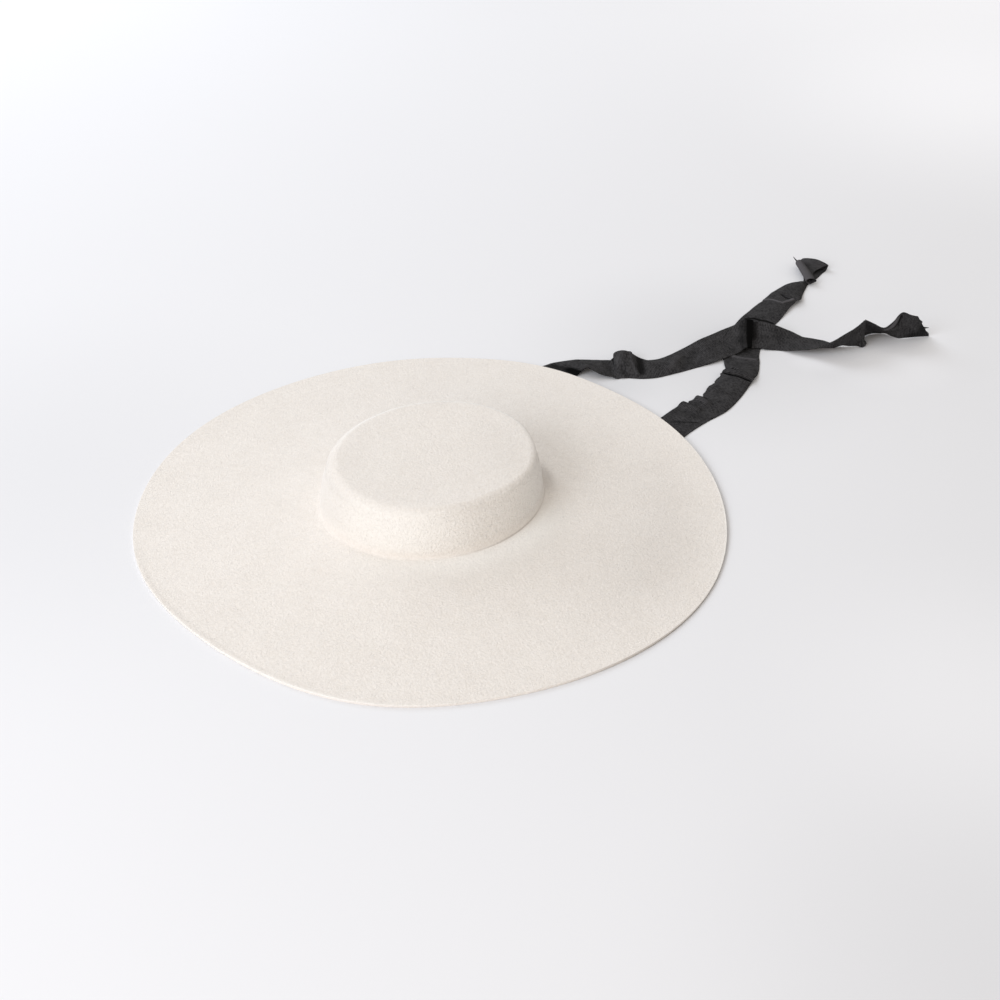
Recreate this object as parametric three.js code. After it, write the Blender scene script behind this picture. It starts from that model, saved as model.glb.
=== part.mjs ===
// Wide-brim felt hat with two ribbon ties, lying on its brim as on a table.
// Millimetres, +Z up, front of the hat at -Y, origin at the middle of the brim on the table.
import * as THREE from "three";

// Felt: one blocked piece, crown and brim together, with a raw cut edge
const FELT = 2.5;
const BRIM_RADIUS = 268.5;
const BRIM_RISE = 11; // underside of the brim at the crown's foot, above the table
const BRIM_EASE = 1.6; // how soon the brim's slope levels off towards its edge
const REST_SHARE = 0.95; // from this share of its width outwards the brim lies level
const EDGE_ROUND = 0.5;

// Crown: mean radii and heights of the corners before they are rounded
const CROWN_TOP = { r: 89, z: 64, round: 5, steps: 4 };
const CROWN_FOOT = { r: 99.7, z: BRIM_RISE + FELT, round: 2, steps: 4 };
const OVAL_TOP = 6; // half the difference between the crown's length and width
const OVAL_FOOT = 5;
const CROWN_TOP_RINGS = [0.9, 0.5]; // shares of the flat top's radius

const BRIM_SHARES = [REST_SHARE, 0.84, 0.69, 0.53, 0.37, 0.22, 0.1];
const SECTORS = 72;

// Waves of the brim's edge: bearing from the front towards +X, half width of the wave, its height
const BRIM_WAVES = [
  { bearing: 34, half: 24, lift: 2.2 },
  { bearing: 100, half: 30, lift: 1.4 },
  { bearing: 178, half: 30, lift: 2.2 },
  { bearing: 214, half: 24, lift: 2.0 },
  { bearing: 299, half: 34, lift: 1.0 },
];

// Ribbon ties
const TIE_WIDTH = 38;
const TIE_THICK = 1;
const TIE_GAP = 0.3; // clearance between a tie and the felt that it is sewn to
const TIE_CELLS = 3; // flat cells across a tie
const TIE_STEPS = 2; // steps along a tie from one row to the next
const TIE_FLAT_Z = 0.8; // middle of a tie that lies flat on the table
const SEAM_TOP_Z = 42; // top of the sewn end inside the crown
const SEAM_FOOT_Z = 20; // foot of the sewn end, where the tie starts to turn outwards
const TURN_STEPS = 3;
const FOLD_LIFT = 2.1; // height of the upper layer over the lower one where a tie is folded over
const FOLD_EASE = 1.5; // straight run on each side of the fold

// Each tie comes down the inside of the crown at one side, turns out under the brim, is folded over
// once and runs back to the brim's edge. fold: distance of that fold from the middle.
// rows: the stretch in the open, from the brim's edge to the free end, as
// [x, y, z of the middle, bearing of the width, its tilt, its span, the arch across it], with bearings
// from +X towards +Y; the arch is the height of the tie's middle over a straight line between its edges.
const TIES = [
  {
    name: "right_tie",
    side: -1,
    fold: 125,
    rows: [
      [-143, 231, 0.9, 203, 0, 38, 0],
      [-142, 242, 3.6, 198, -8, 38, 0],
      [-137, 254, 4.2, 176, -10, 35, 3.8],
      [-125, 270, 1.3, 160, -1, 36, 3.1],
      [-117, 280, 0.8, 154, 0, 38, 0],
      [-115, 284, 5.4, 155, 14, 38, 0],
      [-110, 293, 6.9, 154, 18, 38, 0],
      [-103, 304, 3.4, 155, 8, 38, 0],
      [-97, 316, 0.9, 161, 0, 36, 3.1],
      [-93, 337, 1.1, 173, 1, 33, 4.7],
      [-94, 360, 1, 172, 1, 38, 0],
      [-91, 384, 6, 171, 10, 38, 0],
      [-91, 409, 7.8, 167, 14, 38, 0],
      [-90, 421, 10, 156, 17, 38, 0],
      [-88, 430, 14, 147, 21, 38, 0],
      [-86, 438, 12, 141, 22, 38, 0],
      [-91, 435, 8.8, 141, 20, 38, 0],
      [-87, 447, 8, 142, 18, 38, 0],
      [-79, 456, 7, 134, 16, 38, 0],
      [-69, 470, 3.2, 129, 7, 38, 0],
      [-56, 479, 3.4, 130, -7, 38, 0],
      [-47, 486, 4.6, 131, -10, 38, -1],
      [-37, 492, 8.6, 132, -18, 37, -4.2],
      [-27, 499, 12.6, 134, -33, 36.5, -5.5],
      [-21, 511, 15.4, 131, -48, 37.5, -2.5],
      [-18, 525, 17.6, 128, -62, 38, 0],
      [-18, 533, 19, 124, -72, 38, 0],
      [-27, 543, 16.7, 138, -56, 38, 0],
      [-26, 553, 14.4, 135, -45, 38, 0],
      [-19, 563, 12.5, 132, -37, 38, 0],
      [-12, 569, 16, 131, -53, 38, 0],
      [-9, 578, 19.2, 120, -74, 38, 0],
      [-4, 587, 18.2, 114, -65, 38, 0],
      [1, 600, 16.7, 95, -53, 39.7, 0],
    ],
  },
  {
    name: "left_tie",
    side: 1,
    fold: 118,
    rows: [
      [5, 268, 1, 190, 0, 38, 0],
      [-4, 300, 1.6, 187, 2, 38, 0],
      [-9, 328, 1, 190, 0, 37, 2.2],
      [-21, 354, 1.4, 203, 2, 35, 3.8],
      [-31, 371, 2.2, 215, 3, 34, 4.3],
      [-36, 381, 5, 218, 4, 34, 4.3],
      [-44, 392, 1.4, 222, 0, 34, 4.3],
      [-58, 403, 1.4, 240, 1, 37.5, 1.6],
      [-74, 415, 0.8, 238, 0, 38, 0],
      [-96, 438, 0.8, 222, 0, 38, 0],
      [-115, 464, 0.8, 206, 0, 38, 0],
      [-128, 491, 0.9, 202, 0, 37, 2.2],
      [-137, 510, 1.9, 198, -3, 35, 3.8],
      [-144, 526, 2.6, 190, -5, 35, 3.8],
      [-148, 540, 3.2, 183, -6, 37.6, 1.4],
      [-154.8, 555.5, 1.7, 165, -2, 33.8, 3],
      [-159.5, 568.5, 1, 160, 0, 20.2, 4],
      [-163, 576.8, 0.8, 166, 0, 10.3, 1.8],
      [-173, 587, 0.8, 159, 0, 27.9, 1],
      [-182, 597, 0.8, 167, 0, 36.9, 0],
      [-188, 607, 0.8, 183, 0, 34.1, 0],
      [-190.2, 612.5, 1.1, 196, -1, 32.8, 0],
      [-191, 615.2, 3, 199, -5, 31.9, -2],
      [-188, 611.2, 7.6, 204, -1, 30.7, -3],
      [-189, 606, 5.9, 201, 2, 27.9, -3.4],
      [-188.8, 597.5, 4.4, 182, 4, 28.6, -1.5],
      [-181.5, 592, 4.2, 167, 6, 36.1, 0],
      [-174.1, 584.6, 4.8, 162, 7, 38, 0],
      [-176.1, 581.4, 5.8, 161, 7, 38, 0],
      [-176.8, 580.6, 8.2, 159, 7, 38, 0],
      [-176, 581.7, 10.6, 160, 7, 38, 0],
      [-174.1, 584.6, 11.6, 162, 7, 38, 0],
      [-172.2, 587.5, 10.6, 164, 7, 38, 0],
      [-171.9, 588.8, 8.3, 165, 7, 39, 0],
      [-174.1, 587.2, 6.6, 164, 7, 41, 0],
      [-177.5, 585.3, 7.1, 163, 8, 45, 0],
      [-180.5, 584.9, 8.4, 164, 8, 50, 0],
    ],
  },
];

const FELT_COLOUR = 0xeee9e2;
const FELT_ROUGHNESS = 0.95;
const RIBBON_COLOUR = 0x34343a;
const RIBBON_ROUGHNESS = 0.8;

const radians = THREE.MathUtils.degToRad;
const mix = THREE.MathUtils.lerp;

// A round arc that eases the corner b of the path a-b-c.
function roundedCorner(a, b, c, radius, steps) {
  const back = a.clone().sub(b).normalize();
  const on = c.clone().sub(b).normalize();
  const half = Math.acos(THREE.MathUtils.clamp(back.dot(on), -1, 1)) / 2;
  const centre = back.clone().add(on).normalize().multiplyScalar(radius / Math.sin(half)).add(b);
  const start = back.multiplyScalar(radius / Math.tan(half)).add(b).sub(centre);
  const end = on.multiplyScalar(radius / Math.tan(half)).add(b).sub(centre);
  const turn = Math.atan2(start.cross(end), start.dot(end));
  return Array.from({ length: steps + 1 }, (_, i) =>
    start.clone().rotateAround(new THREE.Vector2(), (turn * i) / steps).add(centre),
  );
}

const topCorner = new THREE.Vector2(CROWN_TOP.r, CROWN_TOP.z);
const footCorner = new THREE.Vector2(CROWN_FOOT.r, CROWN_FOOT.z);

// Top side of the brim at a share of its width, 0 at the crown's foot and 1 at the edge.
function brimPoint(share) {
  const fall = Math.max(0, 1 - share / REST_SHARE) ** BRIM_EASE;
  return new THREE.Vector2(mix(CROWN_FOOT.r, BRIM_RADIUS, share), FELT + BRIM_RISE * fall);
}

// Section of the felt's top side, from the brim's edge up to the middle of the crown.
function feltSection() {
  const brim = BRIM_SHARES.map(brimPoint);
  const foot = roundedCorner(brim.at(-1), footCorner, topCorner, CROWN_FOOT.round, CROWN_FOOT.steps);
  const axis = new THREE.Vector2(0, CROWN_TOP.z);
  const rim = roundedCorner(footCorner, topCorner, axis, CROWN_TOP.round, CROWN_TOP.steps);
  const flat = CROWN_TOP_RINGS.map((share) => new THREE.Vector2(rim.at(-1).x * share, CROWN_TOP.z));
  return [...brim, ...foot, ...rim, ...flat];
}

// The same section moved to the felt's inner side.
function innerSection(section) {
  return section.map((point, i) => {
    const before = section[Math.max(i - 1, 0)];
    const after = section[Math.min(i + 1, section.length - 1)];
    const along = after.clone().sub(before).normalize();
    return new THREE.Vector2(point.x - along.y * FELT, point.y + along.x * FELT);
  });
}

// Height of the brim's edge over the table at a bearing from the front.
function edgeLift(bearing) {
  return BRIM_WAVES.reduce((lift, wave) => {
    const off = Math.abs(THREE.MathUtils.euclideanModulo(bearing - wave.bearing + 180, 360) - 180);
    const share = Math.min(off / wave.half, 1);
    return lift + wave.lift * Math.cos((share * Math.PI) / 2) ** 2;
  }, 0);
}

// Share of the brim's width at a radius, 0 on the crown and 1 at the edge.
function brimShare(r) {
  return THREE.MathUtils.clamp((r - CROWN_FOOT.r) / (BRIM_RADIUS - CROWN_FOOT.r), 0, 1);
}

// Half the crown's length less half its width, at a point of the section.
function ovalAt(r, z) {
  const up = THREE.MathUtils.clamp((z - CROWN_FOOT.z) / (CROWN_TOP.z - CROWN_FOOT.z), 0, 1);
  const near = Math.min(r / CROWN_TOP.r, 1);
  return mix(OVAL_FOOT, OVAL_TOP, up) * (1 - brimShare(r)) * near;
}

function feltGeometry() {
  const outer = feltSection();
  const inner = innerSection(outer);
  const edge = [
    new THREE.Vector2(BRIM_RADIUS - EDGE_ROUND, 0),
    new THREE.Vector2(BRIM_RADIUS, EDGE_ROUND),
    new THREE.Vector2(BRIM_RADIUS, FELT - EDGE_ROUND),
    new THREE.Vector2(BRIM_RADIUS - EDGE_ROUND, FELT),
  ];
  const roof = new THREE.Vector2(0, CROWN_TOP.z - FELT);
  const peak = new THREE.Vector2(0, CROWN_TOP.z);
  const profile = [roof, ...inner.reverse(), ...edge, ...outer, peak];
  const geometry = new THREE.LatheGeometry(profile, SECTORS);
  const position = geometry.attributes.position;
  for (let i = 0; i < position.count; i++) {
    const sector = Math.floor(i / profile.length);
    const { x: r, y: z } = profile[i % profile.length];
    const bearing = (sector % SECTORS) * (360 / SECTORS);
    const oval = ovalAt(r, z);
    position.setXYZ(
      i,
      (r - oval) * Math.sin(radians(bearing)),
      -(r + oval) * Math.cos(radians(bearing)),
      z + edgeLift(bearing) * brimShare(r) ** 2,
    );
  }
  return geometry;
}

// Rows of a tie's hidden stretch: sewn end, turn under the crown's foot, fold, run to the brim's edge.
function hiddenRows({ side, fold, rows }) {
  const crownWidth = CROWN_FOOT.r - OVAL_FOOT;
  const crownLength = CROWN_FOOT.r + OVAL_FOOT;
  const sag = (TIE_WIDTH / 2) ** 2 / (2 * (crownLength ** 2 / crownWidth));
  const off = FELT + TIE_GAP + TIE_THICK / 2 + sag;
  const across = 180 + side * 90;

  // down the wall and round the crown's foot, in the plane of the wall's section
  const brimPath = brimPoint(BRIM_SHARES.at(-1));
  const wall = (z) => {
    const up = (z - CROWN_FOOT.z) / (CROWN_TOP.z - CROWN_FOOT.z);
    const r = mix(CROWN_FOOT.r, CROWN_TOP.r, up);
    return new THREE.Vector2(r - mix(OVAL_FOOT, OVAL_TOP, up), z);
  };
  const foot = new THREE.Vector2(crownWidth, CROWN_FOOT.z);
  const brim = new THREE.Vector2(brimPath.x - OVAL_FOOT, brimPath.y);
  const turn = roundedCorner(wall(SEAM_TOP_Z), foot, brim, CROWN_FOOT.round, TURN_STEPS);
  const path = [wall(SEAM_TOP_Z), wall((SEAM_TOP_Z + SEAM_FOOT_Z) / 2), wall(SEAM_FOOT_Z), ...turn];
  const sewn = path.map((point, i) => {
    const before = path[Math.max(i - 1, 0)];
    const after = path[Math.min(i + 1, path.length - 1)];
    const along = after.clone().sub(before).normalize();
    const x = point.x + along.y * off;
    const z = point.y - along.x * off;
    return [side * x, 0, z, across, 0, TIE_WIDTH];
  });

  // folded over flat: the width turns to lie along the crease, and turns on as the tie runs to the exit
  const [exitX, exitY] = rows[0];
  const heading = THREE.MathUtils.radToDeg(Math.atan2(exitY, exitX - side * fold));
  const crease = side > 0 ? heading / 2 : (180 - heading) / 2; // between the tie's run and its crease
  const reach = TIE_WIDTH / 2 / Math.tan(radians(crease)); // run that the crease takes up on each side
  const skewed = (share) => {
    const skew = share * (90 - crease);
    return [across - side * skew, 0, TIE_WIDTH / Math.cos(radians(Math.min(skew, 180 - 2 * crease - skew)))];
  };
  const inward = (distance) => [side * (fold - distance), 0];
  const onward = (distance) => [
    side * fold + distance * Math.cos(radians(heading)),
    distance * Math.sin(radians(heading)),
  ];
  const upper = TIE_FLAT_Z + FOLD_LIFT;
  const length = Math.hypot(exitX - side * fold, exitY);
  return [
    ...sewn,
    [...inward(reach + FOLD_EASE), upper + FOLD_LIFT, ...skewed(0)],
    [...inward(reach / 2), upper + FOLD_LIFT / 2, ...skewed(0.5)],
    [...inward(0), upper, ...skewed(1)],
    [...inward(-FOLD_LIFT / 2), upper - FOLD_LIFT / 2, ...skewed(1)],
    [...inward(0), TIE_FLAT_Z, ...skewed(1)],
    [...onward(reach / 2), TIE_FLAT_Z, ...skewed(1.5)],
    [...onward(reach + FOLD_EASE), TIE_FLAT_Z, ...skewed(2)],
    [...onward(length / 2), TIE_FLAT_Z, ...skewed(2)],
    [...onward(length - TIE_WIDTH), TIE_FLAT_Z, ...skewed(2)],
  ];
}

// Middle surface of a tie: a list of rows of points, from one edge to the other, on or over the table.
function tieSurface(rows) {
  const middle = new THREE.CatmullRomCurve3(rows.map(([x, y, z]) => new THREE.Vector3(x, y, z)));
  const width = new THREE.CatmullRomCurve3(rows.map((row) => new THREE.Vector3(...row.slice(3, 6))));
  const steps = (rows.length - 1) * TIE_STEPS;
  const archAt = (place) => {
    const k = Math.min(Math.floor(place), rows.length - 2);
    return mix(rows[k][6] ?? 0, rows[k + 1][6] ?? 0, place - k);
  };
  return Array.from({ length: steps + 1 }, (_, i) => {
    const centre = middle.getPoint(i / steps);
    const run = middle.getTangent(i / steps);
    const { x: bearing, y: tilt, z: span } = width.getPoint(i / steps);
    const flat = Math.cos(radians(tilt));
    const aim = new THREE.Vector3(
      flat * Math.cos(radians(bearing)),
      flat * Math.sin(radians(bearing)),
      Math.sin(radians(tilt)),
    );
    const up = run.cross(aim).normalize();
    const arch = archAt(i / TIE_STEPS);
    return Array.from({ length: TIE_CELLS + 1 }, (_, j) => {
      const across = j / TIE_CELLS - 0.5;
      const point = centre.clone().addScaledVector(aim, span * across);
      point.addScaledVector(up, arch * (1 - 4 * across * across));
      point.z = Math.max(point.z, TIE_FLAT_Z);
      return point;
    });
  });
}

// A closed strip of even thickness round a middle surface.
function stripGeometry(surface, thickness) {
  const rows = surface.length;
  const columns = surface[0].length;
  const within = (i, count) => THREE.MathUtils.clamp(i, 0, count - 1);
  const at = (i, j) => surface[within(i, rows)][within(j, columns)];
  const points = [];
  for (const sign of [1, -1]) {
    for (let i = 0; i < rows; i++) {
      for (let j = 0; j < columns; j++) {
        const along = at(i + 1, j).clone().sub(at(i - 1, j));
        const across = at(i, j + 1).clone().sub(at(i, j - 1));
        const normal = along.cross(across).normalize();
        points.push(at(i, j).clone().addScaledVector(normal, (sign * thickness) / 2));
      }
    }
  }
  const top = (i, j) => i * columns + j;
  const bottom = (i, j) => rows * columns + i * columns + j;
  const index = [];
  const quad = (a, b, c, d) => index.push(a, b, c, a, c, d);
  for (let i = 0; i < rows - 1; i++) {
    for (let j = 0; j < columns - 1; j++) {
      quad(top(i, j), top(i + 1, j), top(i + 1, j + 1), top(i, j + 1));
      quad(bottom(i, j), bottom(i, j + 1), bottom(i + 1, j + 1), bottom(i + 1, j));
    }
    quad(top(i, 0), bottom(i, 0), bottom(i + 1, 0), top(i + 1, 0));
    quad(top(i, columns - 1), top(i + 1, columns - 1), bottom(i + 1, columns - 1), bottom(i, columns - 1));
  }
  for (let j = 0; j < columns - 1; j++) {
    quad(top(0, j), top(0, j + 1), bottom(0, j + 1), bottom(0, j));
    quad(top(rows - 1, j), bottom(rows - 1, j), bottom(rows - 1, j + 1), top(rows - 1, j + 1));
  }
  const geometry = new THREE.BufferGeometry().setFromPoints(points);
  geometry.setIndex(index);
  return geometry;
}

const hat = new THREE.Group();

function addPiece(name, geometry, color, roughness) {
  const material = new THREE.MeshStandardMaterial({ color, roughness, metalness: 0 });
  const mesh = new THREE.Mesh(geometry, material);
  mesh.name = name;
  hat.add(mesh);
}

addPiece("felt_body", feltGeometry(), FELT_COLOUR, FELT_ROUGHNESS);
for (const tie of TIES) {
  const surface = tieSurface([...hiddenRows(tie), ...tie.rows]);
  addPiece(tie.name, stripGeometry(surface, TIE_THICK), RIBBON_COLOUR, RIBBON_ROUGHNESS);
}

export default hat;
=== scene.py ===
import math

import bpy
import numpy as np
from bpy.props import FloatProperty, FloatVectorProperty, PointerProperty
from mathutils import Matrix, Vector, noise


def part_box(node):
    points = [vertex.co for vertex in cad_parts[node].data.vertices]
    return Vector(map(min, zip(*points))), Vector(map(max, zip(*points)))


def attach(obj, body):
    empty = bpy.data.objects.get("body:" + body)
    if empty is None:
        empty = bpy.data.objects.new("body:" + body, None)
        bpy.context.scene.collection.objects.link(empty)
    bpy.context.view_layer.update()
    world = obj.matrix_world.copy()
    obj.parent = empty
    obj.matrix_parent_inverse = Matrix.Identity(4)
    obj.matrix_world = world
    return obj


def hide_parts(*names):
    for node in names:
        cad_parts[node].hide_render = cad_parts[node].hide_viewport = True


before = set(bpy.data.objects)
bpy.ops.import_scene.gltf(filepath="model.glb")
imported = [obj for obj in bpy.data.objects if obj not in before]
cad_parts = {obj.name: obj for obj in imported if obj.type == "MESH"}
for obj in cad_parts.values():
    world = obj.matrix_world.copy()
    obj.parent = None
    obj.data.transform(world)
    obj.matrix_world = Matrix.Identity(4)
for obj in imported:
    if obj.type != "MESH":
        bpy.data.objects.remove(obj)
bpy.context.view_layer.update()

bl_info = {
    "name": "Felt hat with ribbon ties",
    "version": (1, 0, 0),
    "blender": (4, 5, 0),
    "location": "3D View > Sidebar > Hat",
    "description": "Dresses the packed frame of a wide-brim felt hat and its two ribbon ties",
    "category": "Object",
}

MM = 0.001

# The crown and brim, in millimetres; their reach and height come from the frame.
FELT_LOW, FELT_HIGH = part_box("felt_body")
BRIM_RADIUS = round((FELT_HIGH[0] - FELT_LOW[0]) / 2 / MM, 3)
CROWN_TOP_Z = round(FELT_HIGH[2] / MM, 3)
BRIM_EASE = 1.6  # how soon the brim's slope levels off towards its edge
REST_SHARE = 0.95  # from this share of its width outwards the brim lies level
CROWN_TOP_R, CROWN_FOOT_R = 89.0, 99.7  # mean radii of the corners before they are rounded
SHARP_SIDE = 125  # bearing from the front of the crown's sharpest rim and foot
ROUNDINGS = [(6.2, 2.2), (13.5, 4.5)]  # rounding of rim and foot there, and on the opposite, softest side
TOP_FALL, FALL_SIDE = 4.0, 77  # how much lower the rim is at one bearing than opposite it
WALL_SWELL = 1.2  # how far the crown's wall stands out half way up
OVAL_TOP, OVAL_FOOT = 6.0, 5.0  # half the crown's length less half its width
# Where the crown's rim stands further out: bearing from the front, half width, how far.
RIM_OUT = [(42, 52, 3.2), (88, 45, 1.8), (128, 42, 4.2)]
UNEVEN_FELT = 0.35  # height of the slight unevenness of hand-blocked felt
SECTORS = 288  # steps round the felt
BRIM_RINGS, FOOT_STEPS, WALL_STEPS, RIM_STEPS, TOP_RINGS = 58, 10, 20, 12, 19
LIP_RINGS = (0.7, 1.1, 1.6, 2.2, 3.0, 4.0, 5.0, 6.5)  # extra rings of the brim's top, from its edge inwards

# Waves of the brim's edge: bearing from the front towards +X, half width, height.
BRIM_WAVES = [
    (152, 26, 1.2),
    (178, 30, 2.2),
    (214, 24, 2.0),
    (299, 34, 1.0),
]
# How much narrower the brim is cut by hand, every 10 degrees from the front.
BRIM_TRIM = [
    2.2, 5.2, 6.0, 3.7, -0.2, -2.1, -0.6, 1.4, 1.7, 0.6, -1.2, -3.1,
    -3.7, -2.5, -0.2, 2.0, 3.5, 4.1, 4.5, 4.8, 3.9, 2.3, 1.6, 2.2,
    3.2, 4.4, 5.8, 6.4, 6.0, 4.4, 2.0, 0.0, -1.1, -1.8, -2.3, -1.0,
]

# Painted light and shade on the felt at each place on its section: bearing, half width, and how much
# lighter with a painted highlight or reflected light (above 0), or darker with painted shade or shadow, it is
# there.
PAINTED_FELT_LIGHT = {
    # Cut edge's lower part: painted shadow under the lifted edge on the side turned from the light, painted
    # highlight on the lit side.
    "edge_foot": [(118, 45, -0.95), (160, 45, -0.95), (12, 60, 0.6), (320, 50, 0.35)],
    # Cut edge's upper part: painted highlights where the light catches it, a little painted shade beside
    # them.
    "edge_top": [(100, 22, -0.35), (145, 40, 0.5), (30, 50, 0.8), (330, 50, 0.35)],
    # Lip just inside the edge: painted highlights; just inside that on the lit side, a little painted shade.
    "lip": [(145, 45, 0.8), (35, 32, 0.9)],
    "inside_edge": [(8, 50, -0.1)],
    # Back of the crown's rim: painted sheen.
    "rim": [(205, 60, 0.9), (275, 60, 0.9)],
    # Crease at the crown's foot: painted shade, mostly on the side turned from the light.
    "foot": [(112, 50, -0.6), (345, 70, -0.06)],
    # Crown's wall: painted bounce light, most on the side turned from the light, and a little painted shade
    # towards the lit side.
    "wall": [(62, 60, 0.2), (128, 52, 0.5), (0, 62, -0.07)],
    # Crown's top and the brim on the side turned from the light, and the rim's lit shoulder: painted shade.
    "top": [(150, 70, -0.07)],
    "shoulder": [(345, 60, -0.07)],
    "brim": [(135, 50, -0.045)],
    # Brim beside the crown's foot, on the side turned from the light: painted shadow of the crown.
    "crown_shadow": [(158, 26, -0.3), (170, 16, -0.2)],
    # Brim just outside the crown's foot at bearings 45 to 125: painted reflected light from the wall.
    "lit_foot": [(124, 34, 1.1), (85, 45, 1.0), (45, 40, 0.6)],
    # Outer brim on the side turned from the light: painted shade.
    "outer_brim": [(140, 50, -0.12), (118, 30, -0.06)],
}

# The hidden stretch of a tie, from its sewn end to the brim's edge.
TIE_GAP = 0.3
TIE_SOLID = 1.0  # thickness of the frame's tie
TIE_FLAT_Z = 0.8
TIE_SINK = 0.45  # how much lower than the frame's thicker tie the ribbon lies
SEAM_TOP_Z, SEAM_FOOT_Z = 42.0, 20.0
TURN_ROUND, TURN_STEPS = 2.6, 3  # where a tie turns out under the crown's foot
TURN_SHARE = 0.1  # share of the brim's width at which that turn has met the brim
FOLD_LIFT, FOLD_EASE = 2.1, 1.5
TIE_STEP, HIDDEN_STEP = 0.7, 4.0  # length of a step along a tie, in the open and under the felt
SWING_REACH = 12  # distance from the middle at which a swing of the width counts as length
TIE_CELLS = 48  # cells across
LOWEST_Z = 0.05  # least height of a ribbon's underside
RIB_PITCH, WARP_PITCH = 1.5, 0.42  # from one cross rib, and from one warp thread, to the next
FRAY_STEPS = 8  # steps over which the raw end is drawn out

# Each tie's stretch in the open, from the brim's edge to the free end:
# x, y, z of the middle, bearing of the width from +X towards +Y, its tilt, its span, the arch across it.
TIES = {
    "right_tie": {
        "side": -1,
        "fold": 125,
        "rows": [
            (-143, 231, 0.9, 203, 0, 38, 0),
            (-142, 242, 3.6, 198, -8, 38, 0),
            (-137, 254, 4.2, 176, -10, 35, 3.8),
            (-125, 270, 1.3, 160, -1, 36, 3.1),
            (-117, 280, 0.8, 154, 0, 38, 0),
            (-115, 284, 5.4, 155, 14, 38, 0),
            (-110, 293, 6.9, 154, 18, 38, 0),
            (-103, 304, 3.4, 155, 8, 38, 0),
            (-97, 316, 0.9, 161, 0, 36, 3.1),
            (-93, 337, 1.1, 173, 1, 33, 4.7),
            (-94, 360, 1, 172, 1, 38, 0),
            (-91, 384, 6, 171, 10, 38, 0),
            (-91, 409, 7.8, 167, 14, 38, 0),
            (-90, 421, 10, 156, 17, 38, 0),
            (-88, 430, 14, 147, 21, 38, 0),
            (-86, 438, 12, 141, 22, 38, 0),
            (-91, 435, 8.8, 141, 20, 38, 0),
            (-87, 447, 8, 142, 18, 38, 0),
            (-79, 456, 7, 134, 16, 38, 0),
            (-69, 470, 3.2, 129, 7, 38, 0),
            (-56, 479, 3.4, 130, -7, 38, 0),
            (-47, 486, 4.6, 131, -10, 38, -1),
            (-37, 492, 8.6, 132, -18, 37, -4.2),
            (-27, 499, 12.6, 134, -33, 36.5, -5.5),
            (-21, 511, 15.4, 131, -48, 37.5, -2.5),
            (-18, 525, 17.6, 128, -62, 38, 0),
            (-18, 533, 19, 124, -72, 38, 0),
            (-27, 543, 16.7, 138, -56, 38, 0),
            (-26, 553, 14.4, 135, -45, 38, 0),
            (-19, 563, 12.5, 132, -37, 38, 0),
            (-12, 569, 16, 131, -53, 38, 0),
            (-9, 578, 19.2, 120, -74, 38, 0),
            (-4, 587, 18.2, 114, -65, 38, 0),
            (1, 600, 16.7, 95, -53, 39.7, 0),
        ],
    },
    "left_tie": {
        "side": 1,
        "fold": 118,
        "rows": [
            (5, 268, 1, 190, 0, 38, 0),
            (-4, 300, 1.6, 187, 2, 38, 0),
            (-9, 328, 1, 190, 0, 37, 2.2),
            (-21, 354, 1.4, 203, 2, 35, 3.8),
            (-31, 371, 2.2, 215, 3, 34, 4.3),
            (-36, 381, 5, 218, 4, 34, 4.3),
            (-44, 392, 1.4, 222, 0, 34, 4.3),
            (-58, 403, 1.4, 240, 1, 37.5, 1.6),
            (-74, 415, 0.8, 238, 0, 38, 0),
            (-96, 438, 0.8, 222, 0, 38, 0),
            (-115, 464, 0.8, 206, 0, 38, 0),
            (-128, 491, 0.9, 202, 0, 37, 2.2),
            (-137, 510, 1.9, 198, -3, 35, 3.8),
            (-144, 526, 2.6, 190, -5, 35, 3.8),
            (-148, 540, 3.2, 183, -6, 37.6, 1.4),
            (-154.8, 555.5, 1.7, 165, -2, 33.8, 3),
            (-159.5, 568.5, 1, 160, 0, 20.2, 4),
            (-163, 576.8, 0.8, 166, 0, 10.3, 1.8),
            (-173, 587, 0.8, 159, 0, 27.9, 1),
            (-182, 597, 0.8, 167, 0, 36.9, 0),
            (-188, 607, 0.8, 183, 0, 34.1, 0),
            (-190.2, 612.5, 1.1, 196, -1, 32.8, 0),
            (-191, 615.2, 3, 199, -5, 31.9, -2),
            (-188, 611.2, 7.6, 204, -1, 30.7, -3),
            (-189, 606, 5.9, 201, 2, 27.9, -3.4),
            (-188.8, 597.5, 4.4, 182, 4, 28.6, -1.5),
            (-181.5, 592, 4.2, 167, 6, 36.1, 0),
            (-174.1, 584.6, 4.8, 162, 7, 38, 0),
            (-176.1, 581.4, 5.8, 161, 7, 38, 0),
            (-176.8, 580.6, 8.2, 159, 7, 38, 0),
            (-176, 581.7, 10.6, 160, 7, 38, 0),
            (-174.1, 584.6, 11.6, 162, 7, 38, 0),
            (-172.2, 587.5, 10.6, 164, 7, 38, 0),
            (-171.9, 588.8, 8.3, 165, 7, 39, 0),
            (-174.1, 587.2, 6.6, 164, 7, 41, 0),
            (-177.5, 585.3, 7.1, 163, 8, 48, 0),
            (-180.5, 584.9, 8.4, 164, 8, 50, 0),
        ],
    },
}
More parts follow.
